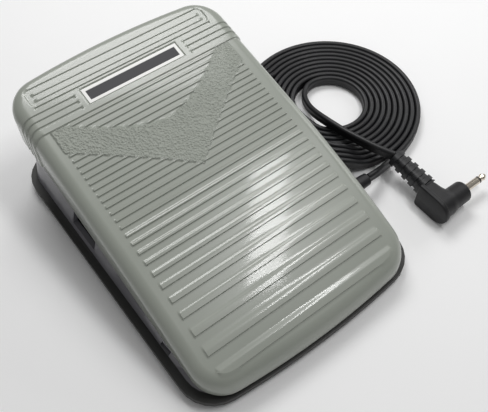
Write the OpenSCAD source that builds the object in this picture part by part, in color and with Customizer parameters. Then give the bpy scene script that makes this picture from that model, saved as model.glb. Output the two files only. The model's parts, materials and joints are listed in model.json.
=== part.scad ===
// Foot pedal of a sewing machine: a hinged cover over a base tray, with a sector gear that turns
// a rotary speed control, and a coiled two-core lead that ends in a right-angled 3.5 mm plug.
// X is across the pedal, +Y runs from the heel to the toe, Z is up and the floor is at z = 0.

/* [Pedal] */
// Width across the base flange
base_w = 114; // [94:1:116]
// Length from the heel to the toe
pedal_l = 154.6; // [130:0.2:190]
// Height of the treading surface at mid length
mid_height = 37.5; // [36.5:0.5:44]
// Rise of the flat toe part for each unit of length
toe_rise = 0.195; // [0.18:0.005:0.23]
// Height of the treading surface at the heel
heel_height = 14.45; // [13.6:0.05:15.4]
// Wall thickness of the cover and of the base
wall = 2.2; // [1.8:0.02:2.8]
// Radius of the rolled edge of the cover
roll_r = 5; // [4:0.2:6]
// Corner radius of the cover, seen from above
corner_r = 14; // [12:0.5:18]
// Bow of the heel and toe ends, from the corners to the middle
end_bow = 4.1; // [3:0.1:6]
// Width by which the flange and the skirt step in on each side
flange_step = 4.5; // [4:0.1:6]
// Thickness of the flange
flange_t = 3; // [2.4:0.1:3.6]
// Height of the skirt's lower edge at the heel
skirt_heel_z = 6.5; // [6.2:0.1:7]
// Height of the skirt's lower edge at the toe
skirt_toe_z = 35.5; // [33:0.5:37]
// Gap between the skirt and the base wall
skirt_gap = 0.6; // [0.5:0.05:0.8]

/* [Hinge and travel] */
// Diameter of the hinge rod
rod_d = 4; // [3:0.1:5]
// Distance of the hinge axis from the heel end
hinge_inset = 15.3; // [14:0.1:18]
// Height of the hinge axis
hinge_z = 9; // [8.8:0.1:10]
// Running clearance of a shaft in its bore, measured on the radius
run_gap = 0.05; // [0.02:0.01:0.1]
// Travel of the cover, in degrees
travel = 4; // [3:0.1:4]

/* [Speed control] */
// Tooth module of the sector gear and the pinion
tooth_module = 1; // [0.9:0.05:1.1]
// Number of teeth of the pinion
pinion_teeth = 10; // [9:1:11]
// Angle at which the pinion sits, seen from the hinge
mesh_angle = 8; // [6:1:9]
// Thickness of the sector gear
sector_t = 4; // [3:0.2:5]
// Diameter of the control's shaft
shaft_d = 4; // [3:0.1:4.8]
// Diameter of the control's housing
pot_d = 15; // [13:0.5:18]
// Outer diameter of a return spring
spring_d = 9; // [8:0.1:11]
// Wire diameter of a return spring
spring_wire = 0.9; // [0.7:0.1:1.2]
// Number of turns of a return spring
spring_turns = 8; // [6:1:10]

/* [Lead and plug] */
// Height of the flat two-core lead, which lies on its edge
cord_w = 5.6; // [4.8:0.1:6.7]
// Thickness of the flat lead
cord_t = 2.7; // [2.3:0.1:3.2]
// Diameter of the plug's jack
jack_d = 3.5; // [3:0.1:4.2]
// Length of the jack
jack_l = 14; // [10:0.5:15]

/* [Hidden] */

// Heights from the floor up
foot_h = 2;
flange_z = foot_h + flange_t;
floor_z = foot_h + 2.4;
heel_y = -pedal_l / 2;
toe_y = pedal_l / 2;
base_hw = base_w / 2;
hinge_y = heel_y + hinge_inset;

// Treading surface: a flat toe part, then an arc that steepens to the heel
bend_y = 5;
toe_angle = atan(toe_rise);
bend_z = mid_height + toe_rise * bend_y;
arc_l = bend_y - heel_y - roll_r;
arc_drop = bend_z - heel_height;
arc_r = (arc_l * arc_l + arc_drop * arc_drop)
    / (2 * (arc_drop * cos(toe_angle) - arc_l * sin(toe_angle)));
arc_y = bend_y + arc_r * sin(toe_angle);
arc_z = bend_z - arc_r * cos(toe_angle);
function top_z(y) = y > bend_y ? bend_z + toe_rise * (y - bend_y)
    : arc_z + sqrt(arc_r * arc_r - (y - arc_y) * (y - arc_y));

// Lower edge of the skirt, and how far a point of the cover sinks when it is trodden down
function skirt_z(y) = skirt_heel_z + (skirt_toe_z - skirt_heel_z) * (y - heel_y) / pedal_l;
function sink(y) = max(0, (y - hinge_y) * tan(travel));

// Plan outlines: [half width, heel y, toe y, corner radius, radius of the bowed ends]
bow_r = (base_hw * base_hw + end_bow * end_bow) / (2 * end_bow);
flange_shape = [base_hw, heel_y, toe_y, corner_r + 2, bow_r];
cover_shape = [base_hw - flange_step, heel_y + 0.8, toe_y, corner_r, bow_r];
wall_shape = shrink(cover_shape, wall + skirt_gap);
flare = 3.8;
foot_shape = [wall_shape[0] + flare, wall_shape[1], wall_shape[2] + 1.1, wall_shape[3] + 2, bow_r];
function shrink(s, d) = [s[0] - d, s[1] + d, s[2] - d, max(s[3] - d, 1), s[4] - d];

END_STEPS = 5;
CORNER_STEPS = 6;
SIDE_STEPS = 14;
function corner_x(s) = s[0] - s[3];
function corner_rise(s) = sqrt(pow(s[4] - s[3], 2) - pow(corner_x(s), 2));
function end_angle(s) = atan2(corner_x(s), corner_rise(s));
function corner_end(s, i) = end_angle(s) + (90 - end_angle(s)) * i / CORNER_STEPS;
function half_outline(s) = let (
        low = s[1] + s[4] - corner_rise(s),
        high = s[2] - s[4] + corner_rise(s),
        a = end_angle(s))
    concat(
        [for (i = [0:END_STEPS]) let (t = a * i / END_STEPS)
            [s[4] * sin(t), s[1] + s[4] * (1 - cos(t))]],
        [for (i = [1:CORNER_STEPS]) let (t = corner_end(s, i))
            [corner_x(s) + s[3] * sin(t), low - s[3] * cos(t)]],
        [for (i = [1:SIDE_STEPS - 1]) [s[0], low + (high - low) * i / SIDE_STEPS]],
        [for (i = [CORNER_STEPS:-1:0]) let (t = corner_end(s, i))
            [corner_x(s) + s[3] * sin(t), high + s[3] * cos(t)]],
        [for (i = [END_STEPS - 1:-1:0]) let (t = a * i / END_STEPS)
            [s[4] * sin(t), s[2] - s[4] * (1 - cos(t))]]);
function outline(s) = let (h = half_outline(s), n = len(h) - 1)
    concat(h, [for (i = [n - 1:-1:1]) [-h[i].x, h[i].y]]);
function ring(s, z) = [for (p = outline(s)) [p.x, p.y, z(p.y)]];

// Closed solid through rings of equal length, from the lowest to the highest
module loft(rings) {
    m = len(rings[0]);
    n = m / 2;
    last = (len(rings) - 1) * m;
    sides = [for (k = [0:len(rings) - 2], i = [0:m - 1]) let (j = (i + 1) % m)
        [k * m + i, (k + 1) * m + i, (k + 1) * m + j, k * m + j]];
    bottom = [for (i = [0:n - 1]) i == 0 ? [0, 1, m - 1]
        : i == n - 1 ? [n - 1, n, n + 1] : [i, i + 1, m - i - 1, m - i]];
    top = [for (f = bottom) [for (i = [len(f) - 1:-1:0]) f[i] + last]];
    polyhedron([for (r = rings, p = r) p], concat(sides, bottom, top), convexity = 4);
}

// Tube with an eight-sided flat section along a path, its long side upright
function unit(v) = v / norm(v);
function along(path, i) = unit(path[min(i + 1, len(path) - 1)] - path[max(i - 1, 0)]);
function section(p, t, thick, high) = let (
        side = unit(cross(t, [0, 0, 1])),
        up = cross(side, t))
    [for (q = [[1, -0.4], [1, 0.4], [0.4, 1], [-0.4, 1], [-1, 0.4], [-1, -0.4], [-0.4, -1], [0.4, -1]])
        p + side * q.x * thick / 2 + up * q.y * high / 2];
module tube(path, thick, high) {
    n = 8;
    last = (len(path) - 1) * n;
    points = [for (i = [0:len(path) - 1]) each section(path[i], along(path, i), thick, high)];
    sides = [for (k = [0:len(path) - 2], i = [0:n - 1]) let (j = (i + 1) % n)
        [k * n + i, k * n + j, (k + 1) * n + j, (k + 1) * n + i]];
    polyhedron(points, concat(sides, [[for (i = [n - 1:-1:0]) i]], [[for (i = [0:n - 1]) last + i]]),
        convexity = 6);
}

// A smooth curve through points, with a number of steps from each point to the next
function spline(p, steps) = concat(
    [for (i = [0:len(p) - 2], s = [0:steps - 1]) let (
            a = p[max(i - 1, 0)], b = p[i], c = p[i + 1], d = p[min(i + 2, len(p) - 1)], t = s / steps)
        0.5 * (2 * b + (c - a) * t + (2 * a - 5 * b + 4 * c - d) * t * t
            + (3 * b - a - 3 * c + d) * t * t * t)],
    [p[len(p) - 1]]);
function ease(t) = let (u = min(1, max(0, t))) u * u * (3 - 2 * u);

module along_x(x0, x1) {
    translate([x0, 0, 0]) rotate([90, 0, 90]) linear_extrude(x1 - x0) children();
}
module rod_x(x0, x1, y, z, r) {
    translate([x0, y, z]) rotate([0, 90, 0]) cylinder(r = r, h = x1 - x0, $fn = 48);
}
module post(x, y, z0, z1, r) {
    translate([x, y, z0]) cylinder(r = r, h = z1 - z0, $fn = 40);
}
module both_sides() {
    children();
    mirror([1, 0, 0]) children();
}

// Places that several pieces share
rod_r = rod_d / 2;
inner_hw = wall_shape[0] - wall;
boss_x = inner_hw - 5.5;
boss_t = 5;
lug_x = boss_x - 8;
lug_t = 6;
spring_x = inner_hw - 17.5;
spring_y = 20;
spring_r = spring_d / 2;
cup_r = spring_r + 1.9;
spring_z0 = floor_z + 1.2;
spring_z1 = top_z(spring_y) - wall - 3.8;
bumper_x = inner_hw - 7.5;
bumper_y = toe_y - 13.3;
catch_y = 21;
catch_w = 9;
window_w = 18;
window_z0 = 8;
window_z1 = skirt_z(catch_y) - 1.6;
foot_x = base_hw - 13;
foot_y = toe_y - 15.3;
gland_y = -31;
gland_z = 8.9;
gland_end_x = 66;
board_hw = inner_hw - 19.5;
board_y0 = 28;
board_y1 = toe_y - 15.3;
board_z = floor_z + 4;
board_t = 1.6;
board_hole = [board_hw - 3.5, board_y0 + 3.5, board_y1 - 3.5];
terminal_x = board_hw - 24;
terminal_holes = [terminal_x + 3.5, terminal_x + 10.5];
terminal_hole_y = board_y0 + 5.5;
ballast_x0 = -inner_hw + 5;
ballast_x1 = inner_hw - 29.5;
ballast_y0 = hinge_y + 9;
ballast_y1 = hinge_y + 44;
ballast_t = 3;
clamp_x = inner_hw - 9;
clamp_z = gland_z - cord_w / 2;

// Gears: the sector turns about the hinge axis, the pinion about the control's shaft
sector_teeth = 12 * pinion_teeth;
sector_r = tooth_module * sector_teeth / 2;
pinion_r = tooth_module * pinion_teeth / 2;
pinion_y = hinge_y + (sector_r + pinion_r) * cos(mesh_angle);
pinion_z = hinge_z + (sector_r + pinion_r) * sin(mesh_angle);
shaft_r = shaft_d / 2;
bush_r = shaft_r + 1.2;
plate_x = 8;
plate_t = 1.5;
pot_r = pot_d / 2;
pot_l = 9;

function inv(c) = let (a = acos(min(1, c))) tan(a) * 180 / PI - a;
function flank(r, teeth, m, backlash, rho) = let (
        base = r * cos(20),
        half = 90 / teeth - backlash / (2 * r) * 180 / PI)
    half + inv(cos(20)) - inv(base / max(rho, base));
// Outline of one tooth centred on an angle, as points from its right root to its left root
function tooth(r, teeth, m, add, ded, backlash, at) = let (
        radii = [r - ded, r - ded * 0.5, r, r + add * 0.5, r + add])
    concat(
        [for (rho = radii) let (w = at - flank(r, teeth, m, backlash, rho)) rho * [cos(w), sin(w)]],
        [for (i = [len(radii) - 1:-1:0]) let (rho = radii[i], w = at + flank(r, teeth, m, backlash, rho))
            rho * [cos(w), sin(w)]]);

module base_features() {
    both_sides() {
        hinge_boss(boss_x);
        post(spring_x, spring_y, floor_z - 1, floor_z + 3.6, spring_r - spring_wire - 1.2);
        post(bumper_x, bumper_y, floor_z - 1, bumper_z0, 4);
        for (y = [board_hole[1], board_hole[2]]) post(board_hole[0], y, floor_z - 1, board_z, 3);
    }
    for (y = clamp_screw_ys) post(clamp_x, y, floor_z - 1, clamp_z, 2.2);
}
module hinge_boss(x) {
    along_x(x - boss_t / 2, x + boss_t / 2) {
        translate([hinge_y, hinge_z]) circle(r = rod_r + 2, $fn = 48);
        translate([hinge_y - rod_r - 2, floor_z - 1])
            square([2 * rod_r + 4, hinge_z - floor_z + 1]);
    }
}
bumper_z0 = top_z(bumper_y) - wall - sink(bumper_y) - 5;
bumper_z1 = bumper_z0 + 4;
clamp_screw_ys = [gland_y - 5, gland_y + 5];

module base_tray() {
    color([0.3, 0.3, 0.3]) difference() {
        union() {
            translate([0, 0, foot_h]) linear_extrude(flange_t) polygon(outline(flange_shape));
            difference() {
                loft([ring(foot_shape, function (y) foot_h + 1), ring(foot_shape, function (y) flange_z),
                    ring(wall_shape, function (y) wall_mid_z(y)),
                    ring(wall_shape, function (y) skirt_z(y) + 2.2)]);
                loft([ring(shrink(foot_shape, wall), function (y) foot_h),
                    ring(shrink(foot_shape, wall), function (y) flange_z - 0.2),
                    ring(shrink(wall_shape, wall), function (y) wall_mid_z(y) - 0.2),
                    ring(shrink(wall_shape, wall), function (y) skirt_z(y) + 8)]);
            }
            base_features();
        }
        translate([0, 0, floor_z]) linear_extrude(flange_t) difference() {
            polygon(outline(shrink(foot_shape, wall)));
            base_feature_footprint();
        }
        both_sides() catch_window();
        rod_x(-inner_hw, inner_hw, hinge_y, hinge_z, rod_r + run_gap);
        rod_x(inner_hw - 4, base_hw, gland_y, gland_z, gland_r);
        translate([-base_hw, -46, flange_z + 0.2]) cube([base_hw - inner_hw + 6, 6, 1.8]);
        for (x = [-foot_x, foot_x], y = [-foot_y, foot_y]) post(x, y, foot_h - 1, foot_h + 0.6, 5.6);
        for (p = screw_places) post(p.x, p.y, floor_z - 1.6, floor_z + 12, screw_r);
    }
}
// Where the posts stand, so that the floor's pocket leaves them whole
module base_feature_footprint() {
    both_sides() {
        translate([boss_x - boss_t / 2, hinge_y - rod_r - 2]) square([boss_t, 2 * rod_r + 4]);
        translate([spring_x, spring_y]) circle(r = spring_r - spring_wire - 1.2, $fn = 40);
        translate([bumper_x, bumper_y]) circle(r = 4, $fn = 40);
        for (y = [board_hole[1], board_hole[2]]) translate([board_hole[0], y]) circle(r = 3, $fn = 40);
    }
    for (y = clamp_screw_ys) translate([clamp_x, y]) circle(r = 2.2, $fn = 40);
}
function wall_mid_z(y) = max(flange_z + 0.7, skirt_z(y) - sink(y) - 0.8);
module catch_window() {
    along_x(inner_hw - 6, base_hw) {
        translate([catch_y - window_w / 2, window_z0]) square([window_w, window_z1 - window_z0 - 4]);
        translate([catch_y - window_w / 2 + 4, window_z0]) square([window_w - 8, window_z1 - window_z0]);
        for (y = [catch_y - window_w / 2 + 4, catch_y + window_w / 2 - 4])
            translate([y, window_z1 - 4]) circle(r = 4, $fn = 40);
    }
}

screw_r = 1.2;
head_r = 2.4;
gland_r = 3.7;
board_screw_places = [for (x = [-board_hole[0], board_hole[0]], y = [board_hole[1], board_hole[2]]) [x, y]];
ballast_screw_places = [for (x = [ballast_x0 + 6, ballast_x1 - 6]) [x, (ballast_y0 + ballast_y1) / 2]];
bracket_screw_places = [for (y = [pinion_y - 7, pinion_y + 7]) [plate_x + 12, y]];
clamp_screw_places = [for (y = clamp_screw_ys) [clamp_x, y]];
screw_places = concat(board_screw_places, ballast_screw_places, bracket_screw_places, clamp_screw_places);
// Pan-head screw, with its seat at z
module screw(x, y, z, deep) {
    difference() {
        union() {
            post(x, y, z, z + 1.5, head_r);
            post(x, y, z - deep, z, screw_r);
        }
        translate([x - 2, y - 0.3, z + 0.9]) cube([4, 0.6, 1]);
        translate([x - 0.3, y - 2, z + 0.9]) cube([0.6, 4, 1]);
    }
}

ROLL_STEPS = 4;
function roll(s, r, drop) = [for (i = [0:ROLL_STEPS]) let (t = 90 * i / ROLL_STEPS)
    ring(shrink(s, r * (1 - cos(t))), function (y) top_z(y) - drop - r * (1 - sin(t)))];
module cover_solid(drop) {
    loft(concat([ring(cover_shape, function (y) skirt_z(y))], roll(cover_shape, roll_r, drop)));
}
module cover_hollow() {
    inner = shrink(cover_shape, wall);
    loft(concat([ring(inner, function (y) skirt_z(y) - 3)], roll(inner, roll_r - wall, wall * 1.03)));
}
plate_w = 48;
plate_h = 7.9;
plate_y = 54.35;
rim_w = 1.5;
rim_t = 1;
// Frame of the flat toe part, with its origin on the surface at a given y
module on_toe(y) {
    translate([0, y, top_z(y)]) rotate([toe_angle, 0, 0]) children();
}
module pedal_cover() {
    color([0.62, 0.64, 0.61]) difference() {
        union() {
            difference() {
                cover_solid(0);
                cover_hollow();
            }
            intersection() {
                loft(concat([ring(shrink(cover_shape, 1), function (y) 0)],
                    roll(shrink(cover_shape, 1), roll_r - 1, 1)));
                cover_features();
            }
        }
        on_toe(plate_y) translate([-plate_w / 2, -plate_h / 2, 0.2 - rim_t]) cube([plate_w, plate_h, 3]);
        rod_x(-inner_hw, inner_hw, hinge_y, hinge_z, rod_r + run_gap);
        for (y = sector_screw_ys, x = sector_screw_xs)
            post(x, y, sector_top_z - 1, sector_top_z + 4, screw_r);
    }
}
module cover_features() {
    both_sides() {
        along_x(lug_x - lug_t / 2, lug_x + lug_t / 2) {
            translate([hinge_y, hinge_z]) circle(r = rod_r + 1.6, $fn = 48);
            translate([hinge_y - rod_r - 1.6, hinge_z]) square([2 * rod_r + 3.2, 20]);
        }
        post(spring_x, spring_y, spring_z1, 60, spring_r + 1);
        post(spring_x, spring_y, spring_z1 - 3, 60, spring_r - spring_wire - 0.8);
        translate([inner_hw - 2.6, catch_y - catch_w / 2, window_z1 - 4]) cube([2, catch_w, 30]);
        translate([inner_hw - 1.6, catch_y - catch_w / 2, window_z1 - 2.6])
            cube([wall + 1.1, catch_w, 2.3]);
    }
    for (y = sector_screw_ys, x = sector_screw_xs) post(x, y, sector_top_z, 60, 2.6);
}

module nameplate() {
    color([0.3, 0.3, 0.31]) on_toe(plate_y)
        translate([rim_w - plate_w / 2, rim_w - plate_h / 2, 0.2 - rim_t])
            cube([plate_w - 2 * rim_w, plate_h - 2 * rim_w, rim_t - 0.3]);
}
module nameplate_rim() {
    color([0.9, 0.9, 0.88]) on_toe(plate_y) difference() {
        translate([-plate_w / 2, -plate_h / 2, 0.2 - rim_t]) cube([plate_w, plate_h, rim_t]);
        translate([rim_w - plate_w / 2, rim_w - plate_h / 2, -2])
            cube([plate_w - 2 * rim_w, plate_h - 2 * rim_w, 4]);
    }
}

clip_x = boss_x + boss_t / 2 + 0.2;
clip_t = 0.8;
module hinge_rod() {
    color([0.7, 0.7, 0.72]) difference() {
        rod_x(-clip_x - 2, clip_x + 2, hinge_y, hinge_z, rod_r);
        both_sides() difference() {
            rod_x(clip_x, clip_x + clip_t, hinge_y, hinge_z, rod_r + 1);
            rod_x(clip_x - 1, clip_x + clip_t + 1, hinge_y, hinge_z, rod_r - 0.5);
        }
    }
}
module hinge_clips() {
    color([0.45, 0.45, 0.47]) both_sides() difference() {
        rod_x(clip_x, clip_x + clip_t, hinge_y, hinge_z, rod_r + 1.6);
        rod_x(clip_x - 1, clip_x + clip_t + 1, hinge_y, hinge_z, rod_r - 0.5);
        translate([clip_x - 1, hinge_y - 0.8, hinge_z]) cube([clip_t + 2, 1.6, rod_r + 3]);
    }
}

// Compression spring with closed flat ends
function spring_path(x) = let (
        n = spring_turns * 14,
        r = spring_r - spring_wire / 2,
        low = spring_z0 + spring_wire / 2,
        high = spring_z1 - spring_wire / 2)
    [for (i = [0:n]) let (
            t = i / n,
            a = 360 * spring_turns * t,
            f = ease((t * spring_turns - 0.6) / (spring_turns - 1.2)))
        [x + r * cos(a), spring_y + r * sin(a), low + (high - low) * (0.35 * f + 0.65 * t)]];
module spring(x) {
    path = spring_path(x);
    n = 6;
    last = (len(path) - 1) * n;
    points = [for (i = [0:len(path) - 1]) let (
            t = along(path, i), side = unit(cross(t, [0, 0, 1])), up = cross(side, t))
        each [for (k = [0:n - 1]) path[i]
            + (side * cos(60 * k) + up * sin(60 * k)) * spring_wire / 2]];
    sides = [for (k = [0:len(path) - 2], i = [0:n - 1]) let (j = (i + 1) % n)
        [k * n + i, k * n + j, (k + 1) * n + j, (k + 1) * n + i]];
    polyhedron(points, concat(sides, [[for (i = [n - 1:-1:0]) i]], [[for (i = [0:n - 1]) last + i]]),
        convexity = 10);
}
module return_spring_left() {
    color([0.72, 0.72, 0.74]) spring(-spring_x);
}
module return_spring_right() {
    color([0.72, 0.72, 0.74]) spring(spring_x);
}
module spring_cups() {
    color([0.85, 0.85, 0.82]) both_sides() difference() {
        post(spring_x, spring_y, floor_z, floor_z + 4.4, cup_r);
        post(spring_x, spring_y, floor_z + 1.2, floor_z + 5, cup_r - 1.3);
        post(spring_x, spring_y, floor_z - 1, floor_z + 5, spring_r - spring_wire - 1.15);
    }
}

module ballast_plate() {
    color([0.42, 0.4, 0.38]) difference() {
        translate([ballast_x0, ballast_y0, floor_z])
            cube([ballast_x1 - ballast_x0, ballast_y1 - ballast_y0, ballast_t]);
        for (p = ballast_screw_places) post(p.x, p.y, floor_z - 1, floor_z + 5, screw_r + 0.3);
    }
}
module ballast_screws() {
    color([0.75, 0.75, 0.77]) for (p = ballast_screw_places)
        screw(p.x, p.y, floor_z + ballast_t, ballast_t + 1.2);
}
module circuit_board() {
    color([0.1, 0.4, 0.2]) difference() {
        translate([-board_hw, board_y0, board_z]) cube([2 * board_hw, board_y1 - board_y0, board_t]);
        for (p = board_screw_places) post(p.x, p.y, board_z - 1, board_z + 3, screw_r + 0.2);
    }
}
module board_screws() {
    color([0.75, 0.75, 0.77]) for (p = board_screw_places) screw(p.x, p.y, board_z + board_t, board_t + 4);
}
// Terminal block, two resistors and a capacitor
module board_parts() {
    top = board_z + board_t;
    color([0.2, 0.2, 0.22]) {
        difference() {
            translate([terminal_x, board_y0 + 2, top]) cube([14, 7, 8]);
            for (x = terminal_holes) post(x, terminal_hole_y, top + 6.5, top + 9, 1.8);
        }
        for (y = [44, 49]) {
            rod_x(-14, -5, y, top + 1.9, 1.5);
            rod_x(-17, -2, y, top + 1.9, 0.35);
            for (x = [-17.3, -2.3]) translate([x, y - 0.35, top]) cube([0.6, 0.7, 2.25]);
        }
        post(10, 48, top, top + 9, 3.5);
    }
}

module pot_bracket() {
    color([0.72, 0.73, 0.74]) difference() {
        union() {
            translate([plate_x, pinion_y - 11, floor_z]) cube([plate_t, 22, pinion_z + bush_r + 3 - floor_z]);
            translate([plate_x, pinion_y - 11, floor_z]) cube([16, 22, plate_t]);
        }
        rod_x(plate_x - 1, plate_x + plate_t + 1, pinion_y, pinion_z, bush_r + 0.05);
        for (p = bracket_screw_places) post(p.x, p.y, floor_z - 1, floor_z + 4, screw_r + 0.2);
    }
}
module bracket_screws() {
    color([0.75, 0.75, 0.77]) for (p = bracket_screw_places)
        screw(p.x, p.y, floor_z + plate_t, plate_t + 1.2);
}
module pot_body() {
    color([0.25, 0.32, 0.4]) difference() {
        union() {
            rod_x(plate_x + plate_t, plate_x + plate_t + pot_l, pinion_y, pinion_z, pot_r);
            rod_x(plate_x - 4, plate_x + plate_t + 1, pinion_y, pinion_z, bush_r);
            for (y = [-4, 0, 4]) translate([plate_x + plate_t + 3, pinion_y + y - 0.6, pinion_z - pot_r - 3])
                cube([0.8, 1.2, 6]);
        }
        rod_x(plate_x - 5, plate_x + plate_t + pot_l - 2, pinion_y, pinion_z, shaft_r + run_gap);
    }
}
module pot_nut() {
    color([0.78, 0.78, 0.8]) difference() {
        translate([plate_x - 2.4, pinion_y, pinion_z]) rotate([0, 90, 0])
            cylinder(r = bush_r + 2, h = 2.4, $fn = 6);
        rod_x(plate_x - 3, plate_x + 1, pinion_y, pinion_z, bush_r);
    }
}
module pot_shaft() {
    color([0.8, 0.78, 0.7])
        rod_x(-sector_t / 2 - 1.5, plate_x + plate_t + pot_l - 2.6, pinion_y, pinion_z, shaft_r);
}
module pot_pinion() {
    step = 360 / pinion_teeth;
    color([0.9, 0.9, 0.86]) difference() {
        along_x(-sector_t / 2 - 0.5, sector_t / 2 + 0.5) translate([pinion_y, pinion_z])
            polygon([for (i = [0:pinion_teeth - 1])
                each tooth(pinion_r, pinion_teeth, tooth_module, 0.85 * tooth_module,
                    1.0 * tooth_module, 0.24, mesh_angle + 180 + i * step)]);
        rod_x(-sector_t, sector_t, pinion_y, pinion_z, shaft_r);
    }
}

sector_screw_ys = [pinion_y - 26, pinion_y - 14];
sector_screw_xs = [-4.8, 4.8];
sector_top_z = top_z(sector_screw_ys[0] - 3) - wall - 2.4;
sector_foot_hw = 7.6;
sector_low = -1.5;
sector_high = 3.5;
// Toothed sector with its web and a screwed foot under the cover
module sector_gear() {
    pitch = 360 / sector_teeth;
    color([0.9, 0.9, 0.86]) difference() {
        union() {
            along_x(-sector_t / 2, sector_t / 2) {
                translate([hinge_y, hinge_z]) polygon(concat(
                    [for (i = [sector_low:1:sector_high])
                        each tooth(sector_r, sector_teeth, tooth_module, 0.5 * tooth_module,
                            1.05 * tooth_module, 0.2, mesh_angle + i * pitch)],
                    [for (i = [0:4]) let (a = mesh_angle + pitch * (sector_high + 0.5
                            - (sector_high - sector_low + 1) * i / 4))
                        (sector_r - 8) * [cos(a), sin(a)]]));
                polygon([sector_edge(sector_low + 3), sector_edge(sector_high + 0.4),
                    [sector_screw_ys[1] + 3, sector_top_z], [sector_screw_ys[0] - 3, sector_top_z],
                    [sector_screw_ys[0] - 3, sector_top_z - 3]]);
            }
            translate([-sector_foot_hw, sector_screw_ys[0] - 3, sector_top_z - 2])
                cube([2 * sector_foot_hw, sector_screw_ys[1] - sector_screw_ys[0] + 6, 2]);
        }
        for (y = sector_screw_ys, x = sector_screw_xs)
            post(x, y, sector_top_z - 4, sector_top_z + 1, screw_r + 0.2);
    }
}
function sector_edge(i) = let (a = mesh_angle + i * 360 / sector_teeth, r = sector_r - 3)
    [hinge_y + r * cos(a), hinge_z + r * sin(a)];
module sector_screws() {
    color([0.75, 0.75, 0.77]) for (y = sector_screw_ys, x = sector_screw_xs)
        translate([0, 0, 2 * (sector_top_z - 2)]) mirror([0, 0, 1]) screw(x, y, sector_top_z - 2, 5);
}

// The lead's two cores, from its tail past the spring cup and down into the terminal block
wire_d = 1.6;
tail_x = clamp_x - 6;
wire_x = spring_x + cup_r + 1.2;
function wire_route(side, hole_x, over_z) = let (
        x = wire_x + 1 + side,
        y = terminal_hole_y - 1.2 + 1.2 * side)
    [[tail_x, gland_y - 1.2 * side, gland_z], [tail_x - 4, gland_y + 5.5 - 1.5 * side, 8],
        [tail_x - 4 + 0.6 * side, gland_y + 12.5 - 1.5 * side, 6.6],
        [x - 2.7, gland_y + 21.5 - 1.5 * side, 6.2], [x, 1, 6.2], [x, 14, 6.2], [x - 0.2, 23, 8],
        [x - 3, board_y0 + 2 + side, 13], [board_hw - 2, y - 0.4, 18.4],
        [(board_hw - 2 + hole_x) / 2, y, over_z], [hole_x + 1.4, (y + terminal_hole_y) / 2, over_z],
        [hole_x, terminal_hole_y, over_z - 1.8], [hole_x, terminal_hole_y, board_z + board_t + 6.6]];
wire_routes = [wire_route(1, terminal_holes[1], 21), wire_route(-1, terminal_holes[0], 22)];
module lead_wires() {
    color([0.7, 0.15, 0.12]) for (route = wire_routes) tube(spline(route, 3), wire_d, wire_d);
}
module cord_tail() {
    color([0.08, 0.08, 0.08]) translate([tail_x, gland_y - cord_t / 2, gland_z - cord_w / 2])
        cube([inner_hw - 1.5 - tail_x, cord_t, cord_w]);
}
module cord_clamp() {
    color([0.85, 0.85, 0.82]) difference() {
        translate([clamp_x - 3, gland_y - 8, clamp_z]) cube([6, 16, cord_w + 2]);
        translate([clamp_x - 4, gland_y - cord_t / 2, clamp_z - 1]) cube([8, cord_t, cord_w + 1]);
        for (y = clamp_screw_ys) post(clamp_x, y, clamp_z - 1, clamp_z + 10, screw_r + 0.2);
    }
}
module clamp_screws() {
    color([0.75, 0.75, 0.77]) for (y = clamp_screw_ys) screw(clamp_x, y, clamp_z + cord_w + 2, cord_w + 4);
}
// Moulded sleeve that holds the lead where it passes the wall
module cord_gland() {
    color([0.1, 0.1, 0.1]) {
        rod_x(inner_hw - 1.5, inner_hw, gland_y, gland_z, gland_r + 0.8);
        rod_x(inner_hw - 0.5, inner_hw + 5.5, gland_y, gland_z, gland_r);
        translate([inner_hw + 5.5, gland_y, gland_z]) rotate([0, 90, 0])
            cylinder(r1 = gland_r, r2 = cord_w / 2 + 0.15, h = gland_end_x - inner_hw - 5.5, $fn = 48);
    }
}
module rubber_feet() {
    color([0.12, 0.12, 0.12]) for (x = [-foot_x, foot_x], y = [-foot_y, foot_y]) {
        post(x, y, 0.4, foot_h + 0.6, 5.5);
        post(x, y, 0, 0.4, 5);
    }
}
module stop_bumpers() {
    color([0.15, 0.15, 0.15]) both_sides() post(bumper_x, bumper_y, bumper_z0, bumper_z1, 3.5);
}

// Free lead: a stretch from the gland, a coil on the floor, and a stretch over the coil to the plug
coil_x = 87.3;
coil_y = 17.3;
coil_inner_r = 17.5;
coil_pitch = 2.9;
coil_turns = 10;
coil_outer_r = coil_inner_r + coil_pitch * (coil_turns - 1);
raised_turns = 4;
low_side = 28.4;
high_side = 32.3;
plug_route_start = [83.2, -30.5, 12];
pedal_route = [[66, -31, 8.9], [70, -30.8, 8.2], [75, -29.9, 6.3], [80, -28.7, 4.4], [85, -27.6, 3.2],
    [90, -26.6, 2.8], [95, -25.6, 2.8]];
plug_route = [[91.8, 34.2, 2.8], [86.5, 34.2, 2.8], [82, 31.8, 2.9], [78.6, 27.6, 3.4], [76.3, 22, 4.4],
    [75.2, 16, 5.8], [74.9, 10, 7.3], [75, 4, 8.6], [75.7, -2, 9.2], [76.7, -8, 9.9], [78, -14, 10.6],
    [79.4, -20, 11.2], [81.2, -26, 11.8], plug_route_start];
module cord_pedal_end() {
    color([0.08, 0.08, 0.08]) tube(spline(pedal_route, 2), cord_t, cord_w);
}
module cord_plug_end() {
    color([0.08, 0.08, 0.08]) tube(spline(plug_route, 2), cord_t, cord_w);
}
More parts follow.
